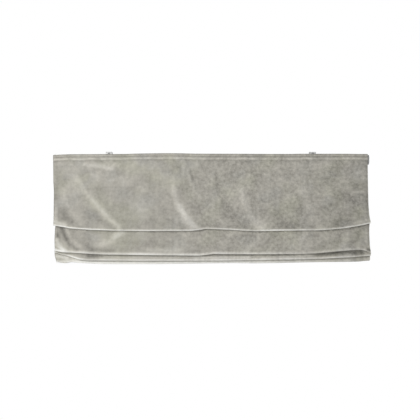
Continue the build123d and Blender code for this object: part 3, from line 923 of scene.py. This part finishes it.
def corner_ring(low, high, corner, x, steps):
    """Points round a rounded rectangle (y, z) that stands across the rail at x."""
    signs = ((1, 1), (-1, 1), (-1, -1), (1, -1))
    middle, reach = (low + high) / 2, (high - low) / 2 - corner
    points = []
    for quarter, (sign_y, sign_z) in enumerate(signs):
        for angle in (quarter + np.linspace(0, 1, steps)) * pi / 2:
            points.append((x, middle[0] + sign_y * reach[0] + corner * np.cos(angle),
                           middle[1] + sign_z * reach[1] + corner * np.sin(angle)))
    return np.array(points)


def merged(parts):
    """Several pieces' points and faces as one."""
    verts, faces, offset = [], [], 0
    for points, part_faces in parts:
        verts.append(points)
        faces += [tuple(i + offset for i in face) for face in part_faces]
        offset += len(points)
    return np.concatenate(verts), faces


def section_places(node, step):
    """The x places along a long node."""
    lowest, highest = box_mm(node)
    return np.linspace(lowest[0], highest[0], int((highest[0] - lowest[0]) / step))


def sleeve_form(x, around, row):
    """The radius of a sleeve at each place, with its seam allowance and its creases."""
    seam = seam_height * bump(around, seam_angle, seam_width)
    creases = np.abs(ripples(x, around * crease_round, crease_length, 50 + row))
    creases = creases * smooth_step((around - crease_angle) / crease_fade)
    gathers = 1 + ripples(x, around * 0, gather_length, 60 + row)
    drawn_in = gather_depth * bump(around, seam_angle, gather_width) * gathers
    return sleeve_radius - sleeve_inset + seam - crease_depth * creases - drawn_in


def make_sleeve(row, material):
    """A cloth sleeve round a rod, its seam allowance sewn to the fold in front of it."""
    node = f"rod_sleeve_{row}"
    x = section_places(node, sleeve_step)[:, None]
    around = np.linspace(0, 2 * pi, sleeve_sides, endpoint=False)[None, :]
    outer = sleeve_form(x, around, row)
    radius = np.concatenate([outer, np.full(outer.shape, sleeve_bore)])
    x = np.concatenate([x, x[::-1]]) + 0 * radius
    y, z = middle_mm(f"rod_{row}")[1:]
    verts = np.stack([x, y + radius * np.cos(around), z + radius * np.sin(around)], 2)
    faces = ring_sides(len(x), sleeve_sides, True)
    obj = new_object(f"sleeve_{row}", verts.reshape(-1, 3), faces, [material])
    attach(obj, f"rod_row_{row}")
    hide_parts(node)


def make_tape(node, name, material, seed):
    """One half of the touch tape: a thin woven band with soft edges."""
    low, high = (corner[1:] for corner in box_mm(node))
    places = section_places(node, tape_step)
    rings = np.array([corner_ring(low, high, tape_corner, x, tape_corner_steps) for x in places])
    wave = waves_at([(*tape_wave, seed)], places, 0 * places)
    rings[:, :, 2] = np.clip(rings[:, :, 2] + wave[:, None], low[1], high[1])
    obj = new_object(name, rings.reshape(-1, 3), ring_faces(*rings.shape[:2]), [material])
    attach(obj, "rail")
    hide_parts(node)


def make_cord_turns(column, material):
    """The cord wound on a spool in one layer, its last turn running over to the hanging cord."""
    node = f"cord_turns_{column}"
    lowest, highest = box_mm(node)
    hanging = middle_mm(f"lift_cord_{column}")
    axis_y, axis_z = middle_mm(node)[1:]
    winding = hanging[1] - axis_y
    start, end = lowest[0] + cord_radius, highest[0] - cord_radius
    turns = int((end - start) / (2 * cord_radius + cord_gap))
    angle = np.linspace(-(turns + 1) * 2 * pi, 0, (turns + 1) * turn_steps + 1)
    x = np.minimum(start + (angle / (2 * pi) + turns + 1) * (end - start) / turns, end)
    x = x + (hanging[0] - end) * smooth_step(angle / (2 * pi) + 1)
    line = np.stack([x, axis_y + winding * np.cos(-angle), axis_z + winding * np.sin(-angle)], 1)
    obj = new_object(f"turns_{column}", *tube(line, cord_radius, turn_sides), [material])
    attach(obj, "shaft")
    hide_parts(node)


def make_lift_cord(column, material):
    """A hanging cord in three parts, split at the rows of rings that it runs to."""
    node = f"lift_cord_{column}"
    bottom_z, top_z = (corner[2] for corner in box_mm(node))
    x, y = middle_mm(node)[:2]
    rod_heights = [rim_z - depth for depth in rod_depths]
    starts = [top_z] + rod_heights[:2]
    ends = rod_heights[:2] + [bottom_z]
    for part, (top, bottom) in enumerate(zip(starts, ends)):
        leave = (rail_low[2] if part == 0 else top) - cord_clear
        reach = rod_heights[part] + cord_clear
        heights = np.append(np.linspace(bottom, top, cord_steps), [leave, reach])
        line = [(x, y, z) for z in np.unique(heights)[::-1]]
        points, faces = tube(line, cord_radius, cord_sides)
        obj = new_object(f"cord_{column}_{part + 1}", points, faces, [material])
        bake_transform(obj)
        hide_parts(node)
    make_knot(column, (x, y, bottom_z), material)


def make_knot(column, place, material):
    """The cord's end below its lock, with a knot in it."""
    x, y, z = place
    share = np.linspace(0, 1, cord_steps)
    line = [(x, y, z + knot_rise - t * (knot_drop + knot_rise)) for t in share]
    size = cord_radius * (1 + knot_swell * bump(share, knot_place, knot_length))
    obj = new_object(f"cord_end_{column}", *tube(line, size, cord_sides), [material])
    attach(obj, "rod_row_3")


def surface_line(obj, row):
    """One row of points on the front of a cloth shell, in millimetres."""
    count = len(columns)
    return np.array([tuple(obj.data.vertices[row * count + i].co) for i in range(count)]) / MM


def make_stitches(name, line, body, material):
    """A row of machine stitches along a line on the cloth."""
    run = np.concatenate([[0], np.cumsum(np.linalg.norm(np.diff(line, axis=0), axis=1))])
    parts = []
    for start in np.arange(stitch_pitch, run[-1] - 2 * stitch_pitch, stitch_pitch):
        at = start + np.linspace(0, stitch_length, len(thread_radii))
        points = np.stack([np.interp(at, run, line[:, i]) for i in range(3)], 1)
        parts.append(tube(points, thread_radii, stitch_sides))
    obj = new_object(name, *merged(parts), [material])
    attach(obj, body)


# End caps
cap_inset = 0.8
cap_corner = 4.0
cap_edge = 2.2
cap_dome = 1.8
cap_gaps = {"left": 0.0, "right": 3.4}
cap_middle = 0.2
dome_rings = 7
edge_rings = 6
cap_corner_steps = 9
plug_corner = 1.0
least_corner = 0.15
sharp_angle = 0.6


def cad_points(node):
    """The corners of a CAD node's mesh in millimetres."""
    world = nodes[node].matrix_world
    return np.array([tuple(world @ v.co) for v in nodes[node].data.vertices]) / MM


def face_profile(thick, half_width):
    """How far in and how far out each ring of a domed face lies, from its middle to its back."""
    inside = np.linspace(half_width - cap_middle, cap_edge, dome_rings)
    dome = cap_dome * (1 - ((inside[0] - inside) / (inside[0] - cap_edge)) ** 2)
    turn = np.linspace(0, pi / 2, edge_rings)[1:]
    edge = [(cap_edge * (1 - np.sin(t)), thick - cap_edge * (1 - np.cos(t))) for t in turn]
    return list(zip(inside, thick + dome)) + edge + [(0.0, 0.0)]


def cap_rings(node, outward, gap):
    """The rings of a cap: its domed face, its plug in the rail and its bearing."""
    points = cad_points(node)
    rail_end = outward * rail_high[0]
    plug = points[np.abs(points[:, 0]) < rail_high[0] - 1][:, 1:]
    plug_end = points[np.argmin(np.abs(points[:, 0])), 0]
    axis = middle_mm("lift_shaft")[1:]
    bearing = np.hypot(*(plug - axis).T).min()
    low, high = points.min(axis=0)[1:] + cap_inset, points.max(axis=0)[1:] - cap_inset
    thick = np.abs(points[:, 0]).max() - rail_high[0]
    rings = []
    for inside, out in face_profile(thick, min(high - low) / 2):
        corner = max(cap_corner - inside, least_corner)
        rings.append((low + inside, high - inside, corner, rail_end + outward * (out + gap)))
    for x in (rail_end + outward * gap, plug_end):
        rings.append((plug.min(axis=0), plug.max(axis=0), plug_corner, x))
    for x in (plug_end, rail_end):
        rings.append((axis - bearing, axis + bearing, bearing - 0.001, x))
    return [corner_ring(*ring, cap_corner_steps) for ring in rings]


def make_end_cap(side, material):
    """A moulded cap with a domed face, a plug in the rail and a bearing for the shaft."""
    node = f"end_cap_{side}"
    outward = -1 if side == "left" else 1
    rings = cap_rings(node, outward, cap_gaps[side])[::-outward]
    faces = ring_faces(len(rings), len(rings[0]))
    obj = new_object(f"cap_{side}", np.concatenate(rings), faces, [material])
    obj.data.set_sharp_from_angle(angle=sharp_angle)
    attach(obj, "rail")
    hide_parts(node)


# Materials
def shader(name):
    """A new material with its nodes, links and main shader."""
    material = bpy.data.materials.new(name)
    material.use_nodes = True
    tree = material.node_tree
    return material, tree, tree.nodes["Principled BSDF"]


def set_inputs(node, values):
    """Sets some of a node's own inputs by name."""
    for name, value in values.items():
        node.inputs[name].default_value = value


def cloth_map(tree):
    """The place on the flat cloth, and its single parts across and along."""
    place = tree.nodes.new("ShaderNodeUVMap")
    place.uv_map = "cloth"
    parts = tree.nodes.new("ShaderNodeSeparateXYZ")
    tree.links.new(place.outputs["UV"], parts.inputs[0])
    return place.outputs["UV"], parts.outputs


def add_noise(tree, vector, scale, detail=2.0, roughness=0.5):
    """A noise texture in the given coordinates."""
    noise = tree.nodes.new("ShaderNodeTexNoise")
    set_inputs(noise, {"Scale": scale, "Detail": detail, "Roughness": roughness})
    tree.links.new(vector, noise.inputs["Vector"])
    return noise.outputs["Fac"]


def math_node(tree, operation, a, b=0.0, c=0.0):
    """A Math node of two or three values or sockets."""
    node = tree.nodes.new("ShaderNodeMath")
    node.operation = operation
    for socket, value in zip(node.inputs, (a, b, c)):
        if isinstance(value, (int, float)):
            socket.default_value = value
        else:
            tree.links.new(value, socket)
    return node.outputs[0]


def mix_colour(tree, factor, a, b):
    """A colour mix of two colours or sockets."""
    node = tree.nodes.new("ShaderNodeMix")
    node.data_type = "RGBA"
    for socket, value in ((node.inputs[0], factor), (node.inputs[6], a), (node.inputs[7], b)):
        if isinstance(value, tuple):
            socket.default_value = (*value, 1)
        else:
            tree.links.new(value, socket)
    return node.outputs[2]


def spread_range(tree, value, low, high, result=(0.0, 1.0)):
    """A value from a low to a high, as 0 to 1 or as the given result."""
    node = tree.nodes.new("ShaderNodeMapRange")
    set_inputs(node, {"From Min": low, "From Max": high, "To Min": result[0], "To Max": result[1]})
    tree.links.new(value, node.inputs["Value"])
    return node.outputs["Result"]


def add_bump(tree, main, height, distance, strength):
    """A fine relief of a shader's surface."""
    node = tree.nodes.new("ShaderNodeBump")
    set_inputs(node, {"Strength": strength, "Distance": distance})
    tree.links.new(height, node.inputs["Height"])
    tree.links.new(node.outputs["Normal"], main.inputs["Normal"])


def grey_times(tree, colour, factor):
    """A colour multiplied by one value."""
    node = tree.nodes.new("ShaderNodeVectorMath")
    node.operation = "SCALE"
    tree.links.new(colour, node.inputs[0])
    tree.links.new(factor, node.inputs["Scale"])
    return node.outputs[0]


def velvet_colour(tree, uv, pile_and_painted_light):
    """Warm grey with olive and cooler places, more neutral where the pile tone and its painted
    highlights are lightest.
    """
    olive = spread_range(tree, add_noise(tree, uv, 11, detail=2.5), 0.46, 0.64)
    cool = spread_range(tree, add_noise(tree, uv, 14, detail=2.5, roughness=0.6), 0.5, 0.66)
    colour = mix_colour(tree, olive, (0.37, 0.354, 0.315), (0.367, 0.357, 0.303))
    colour = mix_colour(tree, cool, colour, (0.367, 0.356, 0.323))
    return mix_colour(tree, spread_range(tree, pile_and_painted_light, 0.14, 1.1), colour, (0.366, 0.363, 0.344))


def velvet_tone(tree, uv, across, pile_and_painted_light):
    """How light each place is: patches, a fine mottle, and the pile tone with the painted light and
    shade it carries.
    """
    patch_strength, mottle_strength = 0.88, 1.05
    patches = math_node(tree, "SUBTRACT", add_noise(tree, uv, 24, detail=3.0, roughness=0.55), 0.5)
    mottle = math_node(tree, "SUBTRACT", add_noise(tree, uv, 120, detail=3.0, roughness=0.65), 0.5)
    uneven = spread_range(tree, across, -0.15, 0.05, result=(0.6, 1.15))
    mottle = math_node(tree, "MULTIPLY", mottle, uneven)
    tone = math_node(tree, "MULTIPLY_ADD", patches, patch_strength, 1.0)
    tone = math_node(tree, "MULTIPLY_ADD", mottle, mottle_strength, tone)
    return math_node(tree, "ADD", tone, pile_and_painted_light)


def velvet_material():
    """Light warm grey velvet: soft patches where its pile lies differently."""
    material, tree, main = shader("velvet")
    uv, parts = cloth_map(tree)
    # The pile tone holds painted shade under folds and in creases, and painted sheen along the
    # folds' lowest edges.
    attribute = tree.nodes.new("ShaderNodeAttribute")
    attribute.attribute_name = "pile_tone_and_painted_light"
    pile_and_painted_light = attribute.outputs["Fac"]
    tone = velvet_tone(tree, uv, parts["X"], pile_and_painted_light)
    tree.links.new(grey_times(tree, velvet_colour(tree, uv, pile_and_painted_light), tone), main.inputs["Base Color"])
    set_inputs(main, {"Roughness": 0.92, "Specular IOR Level": 0.15, "Sheen Weight": 0.5,
                      "Sheen Roughness": 0.35})
    fibres = add_noise(tree, uv, 1400, detail=3.0, roughness=0.7)
    height = math_node(tree, "MULTIPLY_ADD", add_noise(tree, uv, 260), 1.5, fibres)
    add_bump(tree, main, height, 0.0006, 0.5)
    return material


def lining_material():
    """The velvet's plain woven back."""
    material, tree, main = shader("velvet_back")
    threads = 7000.0
    uv, parts = cloth_map(tree)
    slub = spread_range(tree, add_noise(tree, uv, 90, detail=3.0, roughness=0.6), 0.3, 0.7)
    colour = mix_colour(tree, slub, (0.5, 0.485, 0.44), (0.6, 0.585, 0.54))
    tree.links.new(colour, main.inputs["Base Color"])
    set_inputs(main, {"Roughness": 0.85, "Specular IOR Level": 0.2})
    warp, weft = (math_node(tree, "SINE", math_node(tree, "MULTIPLY", parts[axis], threads))
                  for axis in ("X", "Y"))
    add_bump(tree, main, math_node(tree, "MULTIPLY", warp, weft), 0.0002, 0.6)
    return material


def plain_material(name, dark, light, roughness, scale=60, metallic=0.0, transmission=0.0):
    """A moulded, painted or plated finish with slight unevenness in colour and surface."""
    material, tree, main = shader(name)
    place = tree.nodes.new("ShaderNodeTexCoord").outputs["Object"]
    share = spread_range(tree, add_noise(tree, place, scale, detail=3.0), 0.35, 0.65)
    tree.links.new(mix_colour(tree, share, dark, light), main.inputs["Base Color"])
    gloss = math_node(tree, "MULTIPLY_ADD", share, 0.1, roughness)
    tree.links.new(gloss, main.inputs["Roughness"])
    set_inputs(main, {"Metallic": metallic, "Transmission Weight": transmission})
    add_bump(tree, main, add_noise(tree, place, 600), 0.0001, 0.4)
    return material


def woven_material(name, dark, light, scale):
    """A matt woven or braided textile."""
    material, tree, main = shader(name)
    place = tree.nodes.new("ShaderNodeTexCoord").outputs["Object"]
    strands = add_noise(tree, place, scale, detail=2.0, roughness=0.6)
    soiled = add_noise(tree, place, 30, detail=3.0)
    share = spread_range(tree, math_node(tree, "MULTIPLY_ADD", soiled, 0.4, strands), 0.45, 0.95)
    tree.links.new(mix_colour(tree, share, dark, light), main.inputs["Base Color"])
    set_inputs(main, {"Roughness": 0.88, "Specular IOR Level": 0.2, "Sheen Weight": 0.25})
    add_bump(tree, main, strands, 0.0003, 0.7)
    return material


def give(material, *names):
    """Gives CAD nodes a material."""
    for name in names:
        mesh = nodes[name].data
        mesh.materials.clear()
        mesh.materials.append(material)


def dress_hardware():
    """Materials of the rail, brackets, motor and the other rigid pieces."""
    sides, column_names, rows = ("left", "right"), ("left", "centre", "right"), (1, 2, 3)
    give(plain_material("rail_coat", (0.8, 0.8, 0.785), (0.86, 0.86, 0.845), roughness=0.38),
         "headrail")
    white = plain_material("white_plastic", (0.76, 0.76, 0.74), (0.83, 0.83, 0.81), roughness=0.42)
    give(white, "spring_motor_case", "spring_motor_cover", "spring_motor_hub",
         *[f"shaft_bush_{s}" for s in sides], *[f"spool_cradle_{c}" for c in column_names],
         *[f"cord_spool_{c}" for c in column_names], *[f"bottom_bar_cap_{s}" for s in sides])
    steel = plain_material("zinc_steel", (0.36, 0.36, 0.36), (0.52, 0.52, 0.51), roughness=0.42,
                           scale=180, metallic=1.0)
    give(steel, "lift_shaft", *[f"mounting_bracket_{s}" for s in sides],
         *[f"latch_rivet_{s}" for s in sides], *[f"bracket_latch_{s}" for s in sides])
    give(plain_material("mill_aluminium", (0.62, 0.62, 0.63), (0.74, 0.74, 0.75), roughness=0.35,
                        scale=90, metallic=1.0), "bottom_bar")
    give(plain_material("rod_fibre", (0.82, 0.82, 0.79), (0.9, 0.9, 0.87), roughness=0.25),
         *[f"rod_{row}" for row in rows])
    milky = plain_material("milky_plastic", (0.76, 0.77, 0.77), (0.85, 0.86, 0.86), roughness=0.2,
                           transmission=0.25)
    give(milky, *[f"cord_ring_{row}_{c}" for row in rows for c in column_names],
         *[f"cord_lock_{c}" for c in column_names])


# Cloth
both = [velvet_material(), lining_material()]
dress_hardware()


def declare():
    """Hides the CAD velvet node."""
    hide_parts("velvet")


panel, panel_length, header_row = make_panel(both)
declare()
for fold in range(3):
    rise, rise_length = make_rising(fold, both)
    declare()
second, second_length = make_falling(1, second_path, second_marks, second_waves, both)
declare()
third, third_length = make_falling(2, third_path, third_marks, third_waves, both)
declare()
hem, hem_length, lap_row = make_hem(both)
declare()

thread = woven_material("thread", (0.27, 0.26, 0.23), (0.33, 0.32, 0.285), scale=2600)
make_stitches("header_stitches", surface_line(panel, header_row), "rail", thread)
make_stitches("hem_stitches", surface_line(hem, lap_row), "rod_row_3", thread)

sleeve_cloth = woven_material("sleeve_cloth", (0.6, 0.59, 0.56), (0.72, 0.71, 0.68), scale=1500)
for row in (1, 2, 3):
    make_sleeve(row, sleeve_cloth)
tape_cloth = woven_material("tape_weave", (0.72, 0.72, 0.7), (0.84, 0.84, 0.82), scale=1100)
make_tape("hook_tape", "tape_hooks", tape_cloth, 71)
make_tape("loop_tape", "tape_loops", tape_cloth, 72)
cord_braid = woven_material("cord_braid", (0.66, 0.65, 0.62), (0.82, 0.81, 0.79), scale=1900)
for column in ("left", "centre", "right"):
    make_cord_turns(column, cord_braid)
    make_lift_cord(column, cord_braid)
cap_plastic = plain_material("cap_plastic", (0.36, 0.36, 0.35), (0.41, 0.41, 0.4), roughness=0.5)
for side in ("left", "right"):
    make_end_cap(side, cap_plastic)


# Floor, lamps, world and camera, in metres
floor_side = 7.0
floor_z = -1.75
floor_glow = 0.62
world_light = 0.47
lamp_aim = (0, 0, -0.13)
camera_away = 4.0
cloth_front_y = -0.042
camera_sensor = 36
camera_sight = 50


def seen_directly(tree):
    """1 for rays from the camera and for those that gloss and glass show, 0 for light."""
    path = tree.nodes.new("ShaderNodeLightPath")
    seen = math_node(tree, "MAXIMUM", path.outputs["Is Camera Ray"], path.outputs["Is Glossy Ray"])
    return math_node(tree, "MAXIMUM", seen, path.outputs["Is Transmission Ray"])


def mix_shaders(tree, share, first, second, output):
    """Shows one shader, and a share of a second one over it."""
    mix = tree.nodes.new("ShaderNodeMixShader")
    for socket, value in zip(mix.inputs, (share, first.outputs[0], second.outputs[0])):
        tree.links.new(value, socket)
    tree.links.new(mix.outputs[0], output.inputs["Surface"])


def make_floor():
    """A plain pale floor below the lowered blind."""
    corners = ((-1, -1), (1, -1), (1, 1), (-1, 1))
    mesh = bpy.data.meshes.new("floor")
    mesh.from_pydata([(x * floor_side, y * floor_side, floor_z) for x, y in corners], [],
                     [(0, 1, 2, 3)])
    material, tree, main = shader("floor")
    set_inputs(main, {"Base Color": (0.82, 0.82, 0.81, 1), "Roughness": 0.9})
    glow = tree.nodes.new("ShaderNodeEmission")
    set_inputs(glow, {"Color": (0.96, 0.96, 0.95, 1)})
    share = math_node(tree, "MULTIPLY", seen_directly(tree), floor_glow)
    mix_shaders(tree, share, main, glow, tree.nodes["Material Output"])
    mesh.materials.append(material)
    floor = bpy.data.objects.new("floor", mesh)
    bpy.context.scene.collection.objects.link(floor)


def make_lamp(name, place, size, power):
    """A soft square lamp."""
    lamp = bpy.data.lights.new(name, "AREA")
    lamp.size = size
    lamp.energy = power
    obj = bpy.data.objects.new(name, lamp)
    obj.location = place
    direction = np.array(lamp_aim) - np.array(place)
    obj.rotation_euler = Vector(direction).to_track_quat("-Z", "Y").to_euler()
    bpy.context.scene.collection.objects.link(obj)


def make_world():
    """A soft even light that the camera and reflections see as white."""
    world = bpy.data.worlds.new("studio")
    bpy.context.scene.world = world
    world.use_nodes = True
    tree = world.node_tree
    light = tree.nodes["Background"]
    white = tree.nodes.new("ShaderNodeBackground")
    set_inputs(light, {"Color": (1, 1, 1, 1), "Strength": world_light})
    set_inputs(white, {"Color": (1, 1, 1, 1), "Strength": 1.0})
    mix_shaders(tree, seen_directly(tree), light, white, tree.nodes["World Output"])


def make_camera():
    """The photograph's view, straight on."""
    camera = bpy.data.cameras.new("camera")
    camera.sensor_width = camera_sensor
    camera.lens = camera_sensor * camera_away / (photo_side * pixel * MM)
    camera.clip_end = camera_sight
    obj = bpy.data.objects.new("camera", camera)
    middle = photo_side / 2
    obj.location = (x_of(middle) * MM, cloth_front_y - camera_away,
                    (rim_z - depth_of(middle)) * MM)
    obj.rotation_euler = (pi / 2, 0, 0)
    bpy.context.scene.collection.objects.link(obj)
    bpy.context.scene.camera = obj


make_floor()
make_world()
make_lamp("key", (-1.5, -1.8, 0.5), size=1.1, power=42)
make_lamp("fill", (1.1, 2.4, 1.0), size=1.6, power=34)
make_camera()
bpy.context.scene.view_settings.view_transform = "Standard"
